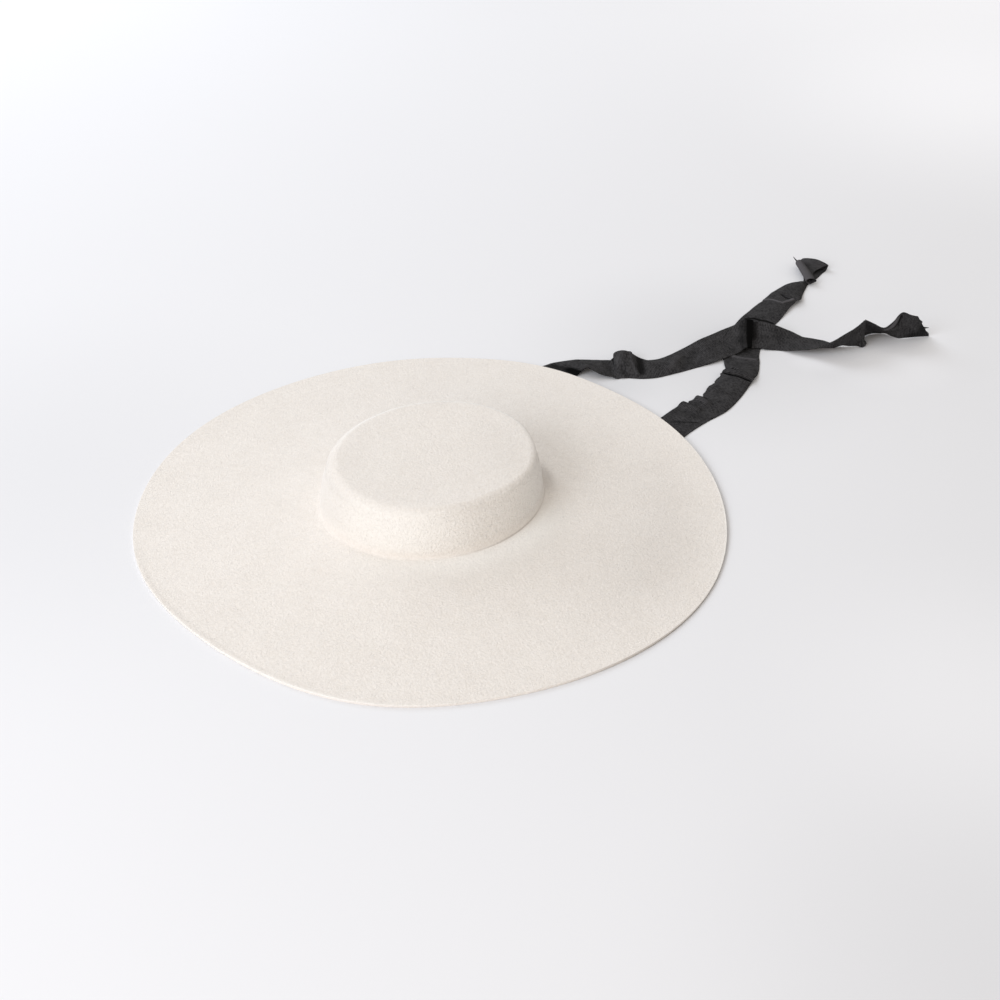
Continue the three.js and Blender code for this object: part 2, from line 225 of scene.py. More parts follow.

# Creases of a tie: points as (place in its rows, distance from its middle), half width, height, and how
# much painted highlight (above 0) or painted shade its threads get there, in creases, under folds and on
# facets turned to or from the light.
CREASES = {
    "right_tie": [
        ([(6.43, 19), (6.43, 4.5), (6.64, -6.5), (6.75, -13)], 1.8, 1.3, 0.25),
        ([(7.2, 15), (7.12, 5), (7.02, -8)], 5.5, -1.0, -0.75),
        ([(4.5, 19), (4.29, 15.5), (4.29, 8)], 1.2, -1.2, -0.7),
        ([(5.4, 17), (5.3, 0)], 6, 0.6, 0.25),
        ([(5.43, -5.5), (5.86, -18)], 3, -1.0, -0.35),
        ([(9.57, 7), (9.07, -3), (8.71, -10.5)], 5, 1.3, 0.3),
        ([(10.5, 6), (10.07, -0.5), (9.57, -12)], 7, -1.0, -0.35),
        ([(12.4, 12), (12.8, -6)], 9, 0.0, -0.2),
        ([(13.9, 19), (13.8, 0), (13.55, -19)], 6, 0.0, -0.55),
        ([(14.6, 19), (14.55, 4), (14.5, -7), (14.5, -18)], 3.6, 0.0, -1.3),
        ([(15.4, 19), (15.4, -5)], 5, 0.0, -1.0),
        ([(15.3, -5), (15.2, -19)], 4, 0.0, -0.7),
        ([(16.7, 19), (16.7, -4)], 4.5, 0.0, -0.65),
        ([(20.4, 0), (21.6, -2)], 8, 0.0, 0.25),
        ([(23.2, -10), (24.6, -10)], 9, 0.0, -0.25),
        ([(27.4, -8), (28.2, 8)], 7, 0.0, -0.35),
        ([(30.93, -13.5), (30.57, -4), (30.0, -2)], 1.6, 1.6, -0.8),
        ([(29.3, -6), (29.8, -9), (30.3, -15)], 4.6, 0.0, 1.0),
        ([(31.9, 17), (32.6, 13), (32.9, 2)], 6.5, 0.0, -0.6),
        ([(0.42, -18), (0.42, -5), (0.36, 4), (0.2, 13)], 5.2, 0.0, -0.62),
        ([(0.4, -18), (0.55, -7)], 4.5, 0.0, -0.5),
        ([(0.5, 17.5), (0.79, 9.5), (1.0, -0.5), (1.0, -10), (1.07, -17.5)], 1.0, 0.9, 0.15),
        ([(25.5, 19), (26.0, 16)], 3.2, -3.0, 0.0),
        ([(1.6, -19), (2.3, -19), (3.3, -19)], 8, 2.5, 0.0),
    ],
    "left_tie": [
        ([(4.71, 17.5), (4.57, 11.5), (4.5, 4), (4.5, -12), (4.57, -16.5)], 1.4, -2.8, -1.0),
        ([(4.95, 17), (4.8, 11), (4.74, 4), (4.74, -12), (4.8, -16.5)], 2.4, 1.2, 0.1),
        ([(5.36, 17), (5.29, 8.5), (5.14, 3.5)], 1.4, -2.8, -1.0),
        ([(5.6, 17), (5.5, 8.5), (5.35, 3.5)], 2.2, 1.0, 0.1),
        ([(7.93, 16), (7.57, 6.5), (7.29, -3.5), (7.21, -14)], 3, 1.3, 0.5),
        ([(0.14, 6), (0.43, -4), (0.71, -13.5)], 1.3, 0.8, -0.6),
        ([(1.05, 19), (1.12, 12), (1.25, 2)], 5, 3.0, 0.15),
        ([(1.85, 19), (1.8, 12), (1.75, 3)], 4, 2.6, 0.3),
        ([(2.75, 19), (2.7, 11)], 6, 1.6, 0.1),
        ([(1.29, 19), (1.3, 12), (1.38, 4)], 1.5, -1.6, -0.6),
        ([(2.13, 19), (2.08, 13), (2.0, 8)], 1.4, -1.5, -0.5),
        ([(0.7, 10), (1.0, -6)], 9, 0.0, -0.35),
        ([(3.29, -15.5), (3.93, -15.5)], 1.5, 0.8, 0.25),
        ([(12.14, 16), (12.21, 7), (12.21, -1.5), (12.29, -8.5), (12.64, -11), (13.29, -15)], 1.6, 1.4, 0.8),
        ([(13.36, 3.5), (13.14, -5.5), (13.29, -10.5), (13.57, -14.5)], 2, -2.0, -0.8),
        ([(13.43, -19), (13.3, -13)], 3, 1.5, 0.0),
        ([(14.3, 8), (14.8, -10)], 8, 0.0, -0.25),
        ([(24, -15), (24, 15)], 8, 0.0, 0.35),
        ([(29.6, -19), (29.6, 19)], 9, 0.0, 0.7),
        ([(10.25, 13), (10.42, 6), (10.42, -1.5), (10.5, -8), (10.5, -16)], 2.2, 0.0, -0.9),
    ],
}

# Where an edge of a tie is drawn in: place in its rows, side of that edge, half length, depth.
NOTCHES = {
    "right_tie": [(26.2, -1, 2.0, 1.0), (2.4, -1, 9, -3.4)],
    "left_tie": [
        (1.29, 1, 2.5, 2.2),
        (2.13, 1, 2.5, 2.0),
        (3.3, 1, 2.2, 1.5),
        (4.2, 1, 2.0, 1.9),
        (5.0, 1, 3.0, 2.0),
        (12.0, 1, 3.0, 1.7),
        (13.3, 1, 5.0, -1.2),
    ],
}
# Tufts of thread at a tie's raw end: distance from its middle, half width, length.
FRAYS = {
    "right_tie": [(-9, 2.2, 1.8), (3, 0.8, 5.5), (14, 3.0, 1.4)],
    "left_tie": [(-12, 1.0, 0.8), (4, 1.2, 1.0)],
}

# Painted shade (below 0) and painted light on the floor: shadows near the ties, light falling off across
# the floor, and lighter spots that soften the shadow under the right tie's raised end: x, y, reach in
# metres, and by how much.
FLOOR_RANGE = 0.2  # the most that it is darker or lighter
FLOOR_REACH, FLOOR_Z = 6000, -0.05  # half its side and its height, in millimetres
PAINTED_FLOOR_LIGHT = [
    (-0.10, 0.38, 0.23, -0.11),
    (-0.24, -0.32, 0.40, -0.06),
    (0.67, 0.05, 0.28, -0.08),
    (-0.43, 1.13, 0.42, 0.10),
    (0.45, 0.25, 0.22, 0.06),
    (0.00, 0.55, 0.10, 0.13),
    (-0.03, 0.485, 0.045, 0.17),
    (-0.015, 0.525, 0.045, 0.11),
    (-0.10, 0.257, 0.07, -0.10),
]

# Large soft lights, in metres to the camera's right, towards the camera and up: place, point aimed at on
# the floor, side, power, colour.
WHITE, COOL, WARM, AMBER = (1.0, 1.0, 1.0), (0.935, 1.0, 1.09), (1.045, 1.0, 0.94), (1.12, 1.0, 0.88)
SOFT_LIGHTS = [
    ("key_light", (-1.651, 1.386, 1.454), (0, 0), 1.3, 26, COOL),
    ("low_fill", (-0.836, 2.296, 0.889), (0, 0), 1.6, 12.6, AMBER),
    ("back_fill", (-1.115, -1.784, 1.528), (0, 0), 1.6, 22, COOL),
    ("far_fill", (0.937, -1.499, 0.696), (0.937, -1.499), 0.6, 1.7, WHITE),
]


class FeltProperties(bpy.types.PropertyGroup):
    """Sizes and colours of the felt."""

    thickness: FloatProperty(
        name="Thickness", description="Thickness of the felt", default=2.5 * MM, unit="LENGTH", precision=4)
    rise: FloatProperty(
        name="Brim rise", description="Underside of the brim at the crown's foot, over the table",
        default=11 * MM, unit="LENGTH", precision=4)
    edge_round: FloatProperty(
        name="Edge rounding", description="Rounding of the cut edge",
        default=0.3 * MM, unit="LENGTH", precision=4)
    light: FloatVectorProperty(
        name="Light tone", description="Colour of the felt's raised fibres", subtype="COLOR",
        default=(0.9, 0.855, 0.812), min=0, max=1)
    shade: FloatVectorProperty(
        name="Shaded tone", description="Colour between the felt's fibres", subtype="COLOR",
        default=(0.805, 0.75, 0.694), min=0, max=1)
    # Painted highlight: the lighter colour mixed in where the felt catches the light, on the cut edge, the
    # lip, the rim and the lit side of the crown's wall.
    painted_highlight: FloatVectorProperty(
        name="Nap", description="Colour of loose fibres on the rim and the cut edge", subtype="COLOR",
        default=(0.97, 0.945, 0.91), min=0, max=1)
    # Painted shade and shadow: the darker colour mixed in under the brim's lifted edge, in the crease at the
    # crown's foot and in the crown's shadow on the brim.
    painted_shade: FloatVectorProperty(
        name="Soil", description="Colour of the handled cut edge and of the crown's creased foot",
        subtype="COLOR", default=(0.25, 0.21, 0.18), min=0, max=1)


class TieProperties(bpy.types.PropertyGroup):
    """Sizes and colours of the ribbon ties."""

    width: FloatProperty(
        name="Width", description="Width of the ribbon", default=38 * MM, unit="LENGTH", precision=4)
    thickness: FloatProperty(
        name="Thickness", description="Thickness of the ribbon", default=0.6 * MM, unit="LENGTH", precision=4)
    light: FloatVectorProperty(
        name="Light tone", description="Colour of the ribbon's raised threads", subtype="COLOR",
        default=(0.058, 0.0565, 0.059), min=0, max=1)
    shade: FloatVectorProperty(
        name="Shaded tone", description="Colour between the ribbon's threads", subtype="COLOR",
        default=(0.011, 0.0107, 0.0113), min=0, max=1)
    # Painted shade down in the ribbon's creases and under its folds.
    fold_shade: FloatVectorProperty(
        name="Deep tone", description="Colour down in the ribbon's creases", subtype="COLOR",
        default=(0.002, 0.002, 0.002), min=0, max=1)
    # Painted highlight on the ribbon's ridges and on facets turned to the light.
    highlit: FloatVectorProperty(
        name="Rubbed tone", description="Colour of the ribbon's rubbed ridges", subtype="COLOR",
        default=(0.105, 0.1, 0.107), min=0, max=1)


class StageProperties(bpy.types.PropertyGroup):
    """Floor, light and camera."""

    floor: FloatVectorProperty(
        name="Floor", description="Colour of the floor", subtype="COLOR",
        default=(0.832, 0.834, 0.86), min=0, max=1)
    sky: FloatProperty(name="Sky", description="Strength of the light from all round", default=0.58, min=0)
    light: FloatProperty(name="Light", description="Strength of the soft lights", default=1.0, min=0)
    lens: FloatProperty(
        name="Lens", description="Focal length of the camera", default=57.6, subtype="DISTANCE_CAMERA")
    eye: FloatVectorProperty(
        name="Eye", description="Place of the camera", default=(1.0549, -0.5618, 0.8583),
        subtype="TRANSLATION")
    aim: FloatVectorProperty(
        name="Aim", description="Point that the camera looks at", default=(0.0227, 0.0585, 0.0),
        subtype="TRANSLATION")


class Socket:
    """An output of a node; arithmetic on it adds Math nodes."""

    def __init__(self, finish, socket):
        self.finish = finish
        self.socket = socket

    def _math(self, operation, *terms):
        return self.finish.node("ShaderNodeMath", {"operation": operation}, dict(enumerate(terms)))

    def __add__(self, other):
        return self._math("ADD", self, other)

    def __sub__(self, other):
        return self._math("SUBTRACT", self, other)

    def __rsub__(self, other):
        return self._math("SUBTRACT", other, self)

    def __mul__(self, other):
        return self._math("MULTIPLY", self, other)

    def __truediv__(self, other):
        return self._math("DIVIDE", self, other)

    def __rtruediv__(self, other):
        return self._math("DIVIDE", other, self)

    def __pow__(self, other):
        return self._math("POWER", self, other)

    __radd__ = __add__
    __rmul__ = __mul__

    def sine(self):
        return self._math("SINE", self)


class Finish:
    """A material with one Principled shader, made from nodes."""

    def __init__(self, name):
        self.material = bpy.data.materials.new(name)
        self.material.use_nodes = True
        self.tree = self.material.node_tree
        self.shader = next(n for n in self.tree.nodes if n.type == "BSDF_PRINCIPLED")

    def node(self, kind, settings=None, sockets=None, out=0):
        """A new node's output: settings are set first, then its sockets get values or links."""
        made = self.tree.nodes.new(kind)
        for key, value in (settings or {}).items():
            setattr(made, key, value)
        for key, value in (sockets or {}).items():
            self.plug(made, key, value)
        return Socket(self, self.find(made.outputs, out))

    def plug(self, made, key, value):
        target = self.find(made.inputs, key)
        if isinstance(value, Socket):
            self.tree.links.new(value.socket, target)
        else:
            target.default_value = value

    @staticmethod
    def find(sockets, key):
        if isinstance(key, int):
            return sockets[key]
        return next(s for s in sockets if key in (s.identifier, s.name))

    def shade(self, **sockets):
        """Values or links of the shader's own sockets, with _ for a space in a name."""
        for key, value in sockets.items():
            self.plug(self.shader, key.replace("_", " "), value)

    def mix(self, factor, a, b):
        """A colour between a and b."""
        sockets = {"Factor_Float": factor, "A_Color": rgba(a), "B_Color": rgba(b)}
        return self.node("ShaderNodeMix", {"data_type": "RGBA"}, sockets, out="Result_Color")

    def noise(self, place, scale, detail=2.0, roughness=0.5):
        sockets = {"Vector": place, "Scale": scale, "Detail": detail, "Roughness": roughness}
        return self.node("ShaderNodeTexNoise", None, sockets)

    def stretch(self, place, scale, turn=(0, 0, 0)):
        return self.node("ShaderNodeMapping", None, {"Vector": place, "Scale": scale, "Rotation": turn})

    def split(self, vector):
        """The three parts of a vector."""
        made = self.node("ShaderNodeSeparateXYZ", None, {"Vector": vector}).socket.node
        return [Socket(self, part) for part in made.outputs]

    def ease(self, value, low, high):
        """0 up to low, 1 from high on, smooth between them."""
        sockets = {"Value": value, "From Min": low, "From Max": high}
        return self.node("ShaderNodeMapRange", {"interpolation_type": "SMOOTHSTEP"}, sockets)

    def bump(self, height, distance, strength=1.0):
        sockets = {"Height": height, "Distance": distance, "Strength": strength}
        return self.node("ShaderNodeBump", None, sockets)


def rgba(colour):
    return colour if isinstance(colour, Socket) else (*colour[:3], 1.0)


def felt_finish(felt):
    """Ivory wool felt: soft clouds of tone, matted fibres and a fine grain, with painted light and shade from
    the tone attribute, a painted highlight on the lit side of the crown's wall and painted shade in the pits
    of its grain.
    """
    f = Finish("ivory_felt")
    place = f.node("ShaderNodeTexCoord", out="Object")
    cloud = f.noise(place, 28, 3)
    clump = f.noise(place, 240, 4, 0.6)
    pebble = f.noise(place, 470, 2, 0.5)
    grain = f.noise(place, 1150, 3, 0.65)
    fibres = 0
    for turn in ((0.3, 0.2, 0.4), (0.5, -0.3, 1.5), (-0.4, 0.6, 2.6)):
        streak = f.noise(f.stretch(place, (2.6, 0.32, 1.4), turn), 620, 2, 0.6)
        fibres = f.ease(streak, 0.52, 0.72) + fibres
    tone = 0.14 * cloud + 0.2 * clump + 0.24 * pebble + 0.32 * grain + 0.1 * fibres
    x, y, z = f.split(place)
    wall = f.ease(z, 15 * MM, 24 * MM) * (1 - f.ease(z, (CROWN_TOP_Z - 9) * MM, (CROWN_TOP_Z - 3) * MM))
    matted = f.mix(f.ease(tone, 0.3, 0.62), felt.shade, felt.light)
    # Painted shade in the pits of the crown wall's grain, where the light grazes the wall.
    shaded_pits = (1 - f.ease(pebble, 0.38, 0.5)) * wall
    # Side of the crown's wall facing the key light: a painted highlight there, and less relief.
    lit_wall_side = wall * (1 - f.ease(0.515 * x + 0.857 * y, -0.03, 0.09))
    # Painted light and shade from the mesh's tone attribute, broken up by the grain: highlights towards the
    # highlight colour, shade towards the shade colour.
    painted_light_and_shade = f.node("ShaderNodeAttribute", {"attribute_name": "tone"}, out="Fac") * (0.7 + 0.6 * grain)
    felt_with_highlights = f.mix(painted_light_and_shade + 0.5 * lit_wall_side, f.mix(shaded_pits, matted, felt.shade), felt.painted_highlight)
    relief = 0.4 * grain + 0.2 * fibres + 0.3 * clump + pebble
    f.shade(
        Base_Color=f.mix(-1 * painted_light_and_shade, felt_with_highlights, felt.painted_shade),
        Roughness=0.9 + 0.08 * grain,
        Normal=f.bump(relief * (1 + wall - 0.6 * lit_wall_side), 0.6 * MM),
        Sheen_Weight=0.4,
        Sheen_Roughness=0.4,
        Specular_IOR_Level=0.25,
    )
    return f.material


def ribbon_finish(tie):
    """Black ribbon with fine cross ribs, warp threads and a soft bloom, with painted shade in its creases and
    painted highlights on its ridges and lit facets.
    """
    f = Finish("black_ribbon")
    weave = f.node("ShaderNodeUVMap", {"uv_map": "weave"})
    across, along, _ = f.split(weave)
    place = f.node("ShaderNodeTexCoord", out="Object")
    slub = f.noise(place, 420, 3, 0.6)
    cloud = f.noise(place, 110, 2)
    rib = 0.5 + 0.5 * (along * (2 * math.pi / RIB_PITCH) + 2.4 * slub).sine()
    warp = 0.5 + 0.5 * (across * (2 * math.pi / WARP_PITCH) + 1.6 * slub).sine()
    speck = f.noise(f.stretch(weave, (0.55, 1.0, 1.0)), 0.55, 3, 0.65)
    tone = 0.15 * rib + 0.08 * warp + 0.55 * speck + 0.22 * cloud
    threads = f.mix(f.ease(tone, 0.36, 0.6), tie.shade, tie.light)
    # Painted light and shade from the mesh's tone attribute: shade in creases, under folds and on facets
    # turned from the light, highlights on ridges and lit facets.
    painted_light_and_shade = f.node("ShaderNodeAttribute", {"attribute_name": "tone"}, out="Fac")
    shaded_threads = f.mix(f.ease(-1 * painted_light_and_shade, 0.05, 1.0), threads, tie.fold_shade)
    f.shade(
        Base_Color=f.mix(f.ease(painted_light_and_shade, 0.05, 1.0), shaded_threads, tie.highlit),
        Roughness=0.6 + 0.2 * speck,
        Normal=f.bump(0.4 * rib + 0.2 * warp + 0.5 * speck, 0.25 * MM, 0.8),
        Specular_IOR_Level=0.03,
    )
    return f.material


def floor_finish(stage):
    """Pale matt floor with painted light and shade: soft shadows near the ties, light falling off across it,
    and lighter spots in a tie's shadow.
    """
    f = Finish("pale_floor")
    place = f.node("ShaderNodeTexCoord", out="Object")
    x, y, _ = f.split(place)
    tone = 0.49 + 0.02 * f.noise(place, 3, 2)
    for spot_x, spot_y, reach, lighter in PAINTED_FLOOR_LIGHT:
        away = ((x - spot_x) ** 2.0 + (y - spot_y) ** 2.0) ** 0.5
        tone = tone + lighter / (2 * FLOOR_RANGE) * (1 - f.ease(away, 0.0, reach))
    darkest, lightest = ([c * share for c in stage.floor] for share in (1 - FLOOR_RANGE, 1 + FLOOR_RANGE))
    f.shade(
        Base_Color=f.mix(tone, darkest, lightest),
        Roughness=0.9,
        Specular_IOR_Level=0.1,
    )
    return f.material


def new_piece(name, points, faces, material, uv=None, tone=None):
    """A smooth mesh object from points in millimetres; uv has a pair and tone a number for each point."""
    mesh = bpy.data.meshes.new(name)
    mesh.from_pydata((np.asarray(points) * MM).tolist(), [], faces)
    if uv is not None:
        layer = mesh.uv_layers.new(name="weave")
        corners = np.empty(len(mesh.loops), dtype=np.int32)
        mesh.loops.foreach_get("vertex_index", corners)
        layer.data.foreach_set("uv", np.asarray(uv, dtype=np.float32)[corners].ravel())
    if tone is not None:
        layer = mesh.attributes.new("tone", "FLOAT", "POINT")
        layer.data.foreach_set("value", np.asarray(tone, dtype=np.float32))
    mesh.materials.append(material)
    mesh.shade_smooth()
    mesh.update()
    piece = bpy.data.objects.new(name, mesh)
    bpy.context.scene.collection.objects.link(piece)
    return piece


def unit(v):
    return v / np.maximum(np.linalg.norm(v, axis=-1, keepdims=True), 1e-9)


def rounded_corner(a, b, c, radius, steps):
    """A round arc that eases the corner b of the path a-b-c, in a plane."""
    a, b, c = (np.asarray(p, dtype=float) for p in (a, b, c))
    back, on = unit(a - b), unit(c - b)
    half = math.acos(np.clip(back @ on, -1, 1)) / 2
    centre = b + unit(back + on) * radius / math.sin(half)
    start = b + back * radius / math.tan(half) - centre
    end = b + on * radius / math.tan(half) - centre
    turn = math.atan2(start[0] * end[1] - start[1] * end[0], start @ end)
    angles = np.linspace(0, turn, steps + 1)
    spun = [np.array([start[0] * math.cos(t) - start[1] * math.sin(t),
                      start[0] * math.sin(t) + start[1] * math.cos(t)]) for t in angles]
    return [centre + p for p in spun]


def brim_point(share, felt):
    """Top side of the brim, in millimetres, at a share of its width from the crown's foot outwards."""
    fall = max(0.0, 1 - share / REST_SHARE) ** BRIM_EASE
    return np.array([
        CROWN_FOOT_R + share * (BRIM_RADIUS - CROWN_FOOT_R),
        (felt.thickness + felt.rise * fall) / MM,
    ])


def foot_corner(felt):
    return np.array([CROWN_FOOT_R, (felt.rise + felt.thickness) / MM])


def felt_section(felt, rim_round, foot_round):
    """Section of the felt's top side, from the brim's edge up to the middle of the crown."""
    brim = [brim_point(share, felt) for share in np.linspace(REST_SHARE, 0.05, BRIM_RINGS)]
    foot, top = foot_corner(felt), np.array([CROWN_TOP_R, CROWN_TOP_Z])
    bend = rounded_corner(brim[-1], foot, top, foot_round, FOOT_STEPS)
    rim = rounded_corner(foot, top, (0, CROWN_TOP_Z), rim_round, RIM_STEPS)
    rise = rim[0] - bend[-1]
    outward = np.array([rise[1], -rise[0]]) / np.hypot(*rise)
    wall = [
        bend[-1] + rise * part + outward * WALL_SWELL * math.sin(math.pi * part) ** 1.5
        for part in np.arange(1, WALL_STEPS) / WALL_STEPS
    ]
    flat = [np.array([rim[-1][0] * share, CROWN_TOP_Z]) for share in np.linspace(0.95, 0.05, TOP_RINGS)]
    return np.array([*brim, *bend, *wall, *rim, *flat])


def brim_share(r):
    return np.clip((r - CROWN_FOOT_R) / (BRIM_RADIUS - CROWN_FOOT_R), 0, 1)


def swells(bearing, table):
    """Sum of a table's smooth swells, each of a bearing from the front, half width and height."""
    total = np.zeros_like(bearing)
    for centre, half, height in table:
        off = np.abs((bearing - centre + 180) % 360 - 180)
        total += height * np.cos(np.minimum(off / half, 1) * math.pi / 2) ** 2
    return total


def trimmed(bearing):
    """How much narrower the brim is cut at each bearing."""
    marks = np.arange(len(BRIM_TRIM)) * 360 / len(BRIM_TRIM)
    return np.mean([np.interp(bearing + s, marks, BRIM_TRIM, period=360) for s in (-4, 0, 4)], axis=0)


def eased(value, low, high):
    """0 up to low, 1 from high on, smooth between them."""
    part = np.clip((value - low) / (high - low), 0, 1)
    return part * part * (3 - 2 * part)


def bell(value, middle, reach):
    """1 at the middle, falling smoothly to both sides."""
    return np.exp(-(((value - middle) / reach) ** 2))


def felt_painted_light(section, bearing, felt):
    """Painted light and shade of each ring of the felt's section at each bearing."""
    r, z = section.T
    inward, up = BRIM_RADIUS - r, z / (felt.thickness / MM)
    edge, upper = inward < 2 * felt.edge_round / MM, up > 0.5
    foot_z = foot_corner(felt)[1]
    past_foot = r - CROWN_FOOT_R
    crown, brim = past_foot < 0, (z < foot_z + 2) * upper
    share = {
        "edge_foot": edge * (1 - eased(up, 0.4, 0.65)),
        "edge_top": edge * eased(up, 0.5, 0.85),
        "lip": upper * ~edge * bell(inward, 0, 1.4),
        "inside_edge": upper * bell(inward, 4, 1.8),
        "rim": bell(np.hypot(r - CROWN_TOP_R + 3.5, z - CROWN_TOP_Z + 0.9), 0, 1.8),
        "foot": bell(np.hypot(past_foot, z - foot_z), 0, 1.5),
        "wall": crown * eased(z, foot_z + 4, foot_z + 16) * (1 - eased(z, CROWN_TOP_Z - 7, CROWN_TOP_Z)),
        "top": (z > CROWN_TOP_Z - 3) * bell(r, 62, 30),
        "shoulder": crown * (r > 60) * bell(z, CROWN_TOP_Z - 5, 5),
        "brim": brim * bell(r, 150, 28),
        "crown_shadow": brim * bell(r, 105, 7),
        "lit_foot": brim * eased(past_foot, 0.5, 3.5) * bell(past_foot, 0, 26),
        "outer_brim": brim * bell(r, 212, 38),
    }
    return sum(share[name][:, None] * swells(bearing, table)[None, :] for name, table in PAINTED_FELT_LIGHT.items())


def felt_profile(felt, rim_round, foot_round):
    """The felt's whole section, inside first."""
    outer = felt_section(felt, rim_round, foot_round)
    along = unit(np.gradient(outer, axis=0))
    thick = felt.thickness / MM
    inner = outer + np.stack([-along[:, 1], along[:, 0]], axis=1) * thick
    inner[:, 1] = np.maximum(inner[:, 1], 0)
    e = felt.edge_round / MM
    turns = np.linspace(0, math.pi / 2, 4)
    corner = [(BRIM_RADIUS - e * (1 - math.sin(t)), e * (1 - math.cos(t))) for t in turns]
    face = [(BRIM_RADIUS, thick * k / 8) for k in range(2, 7)]
    upper = [(r, thick - z) for r, z in reversed(corner)]
    lip = [(BRIM_RADIUS - inward, thick) for inward in LIP_RINGS]
    return np.array([*inner[::-1], *corner, *face, *upper, *lip, *outer])


def top_fall(r, angle):
    """How much lower the crown's top lies at a distance from its middle and a bearing."""
    return TOP_FALL / 2 * (1 + r / CROWN_TOP_R * np.cos(angle - math.radians(FALL_SIDE)))


def felt_points(felt):
    """Rings of the felt, inside first, in millimetres (rings x sectors x 3), and their painted light and
    shade.
    """
    bearing = np.arange(SECTORS) * 360 / SECTORS
    sharp, soft = (felt_profile(felt, *roundings) for roundings in ROUNDINGS)
    softness = (1 - np.cos(np.radians(bearing - SHARP_SIDE))) / 2
    r, z = np.moveaxis(sharp[:, None] + (soft - sharp)[:, None] * softness[None, :, None], -1, 0)
    foot_z = foot_corner(felt)[1]
    up = np.clip((z - foot_z) / (CROWN_TOP_Z - foot_z), 0, 1)
    inside = np.minimum(r / CROWN_TOP_R, 1)
    oval = (OVAL_FOOT + (OVAL_TOP - OVAL_FOOT) * up) * (1 - brim_share(r)) * inside
    angle = np.radians(bearing)[None, :]
    cut = trimmed(bearing)[None, :] * brim_share(r) - swells(bearing, RIM_OUT)[None, :] * up * inside
    rings = np.stack([
        (r - cut - oval) * np.sin(angle),
        -(r - cut + oval) * np.cos(angle),
        z + swells(bearing, BRIM_WAVES)[None, :] * brim_share(r) ** 2 - top_fall(r, angle) * up,
    ], axis=-1)
    return rings, felt_painted_light((sharp + soft) / 2, bearing, felt)


def uneven(points, share):
    """Slight unevenness of the felt at each point, nil where the brim rests."""
    swell = np.array([
        0.6 * noise.noise(Vector((x / 62, y / 62, 7.0))) + 0.4 * noise.noise(Vector((x / 27, y / 27, 19.0)))
        for x, y, _ in points.reshape(-1, 3)
    ]).reshape(points.shape[:2])
    return swell * np.clip((0.97 - share) / 0.15, 0, 1) * UNEVEN_FELT


def wrap_faces(rings, sectors):
    """Quads between neighbouring closed rings."""
    faces = []
    for i in range(rings - 1):
        for j in range(sectors):
            k = (j + 1) % sectors
            faces.append((i * sectors + j, i * sectors + k, (i + 1) * sectors + k, (i + 1) * sectors + j))
    return faces


class HAT_OT_felt(bpy.types.Operator):
    """Make the crown and brim, one blocked piece of felt"""

    bl_idname = "hat.felt"
    bl_label = "Felt crown and brim"

    def execute(self, context):
        felt = context.scene.hat_felt
        rings, tone = felt_points(felt)
        count = len(rings)
        share = brim_share(np.hypot(rings[..., 0], rings[..., 1]))
        rings[..., 2] += uneven(rings, share)
        peak = [0, 0, CROWN_TOP_Z - top_fall(0, 0)]
        roof = [0, 0, peak[2] - felt.thickness / MM]
        points = np.vstack([rings.reshape(-1, 3), [roof], [peak]])
        faces = wrap_faces(count, SECTORS)
        first, last = count * SECTORS, (count - 1) * SECTORS
        for j in range(SECTORS):
            k = (j + 1) % SECTORS
            faces.append((first, k, j))
            faces.append((first + 1, last + j, last + k))
        tone = np.concatenate([tone.ravel(), [0, 0]])
        piece = new_piece("felt_hat", points, faces, felt_finish(felt), tone=tone)
        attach(piece, "root")
        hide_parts("felt_body")
        return {"FINISHED"}


def spline(rows, counts):
    """A centripetal Catmull-Rom curve through rows, with a count of samples from each to the next."""
    rows = np.asarray(rows, dtype=float)
    ends = [2 * rows[0] - rows[1], *rows, 2 * rows[-1] - rows[-2]]
    samples = []
    for p0, p1, p2, p3, count in zip(ends, ends[1:], ends[2:], ends[3:], counts):
        d0, d1, d2 = (max(np.linalg.norm(b - a), 1e-8) ** 0.5 for a, b in ((p0, p1), (p1, p2), (p2, p3)))
        if d1 < 1e-4:
            d1 = 1.0
        d0 = d0 if d0 >= 1e-4 else d1
        d2 = d2 if d2 >= 1e-4 else d1
        t1 = ((p1 - p0) / d0 - (p2 - p0) / (d0 + d1) + (p2 - p1) / d1) * d1
        t2 = ((p2 - p1) / d1 - (p3 - p1) / (d1 + d2) + (p3 - p2) / d2) * d1
        for k in range(count):
            t = k / count
            samples.append(
                (2 * t**3 - 3 * t**2 + 1) * p1 + (t**3 - 2 * t**2 + t) * t1
                + (3 * t**2 - 2 * t**3) * p2 + (t**3 - t**2) * t2)
    samples.append(rows[-1])
    return np.array(samples)


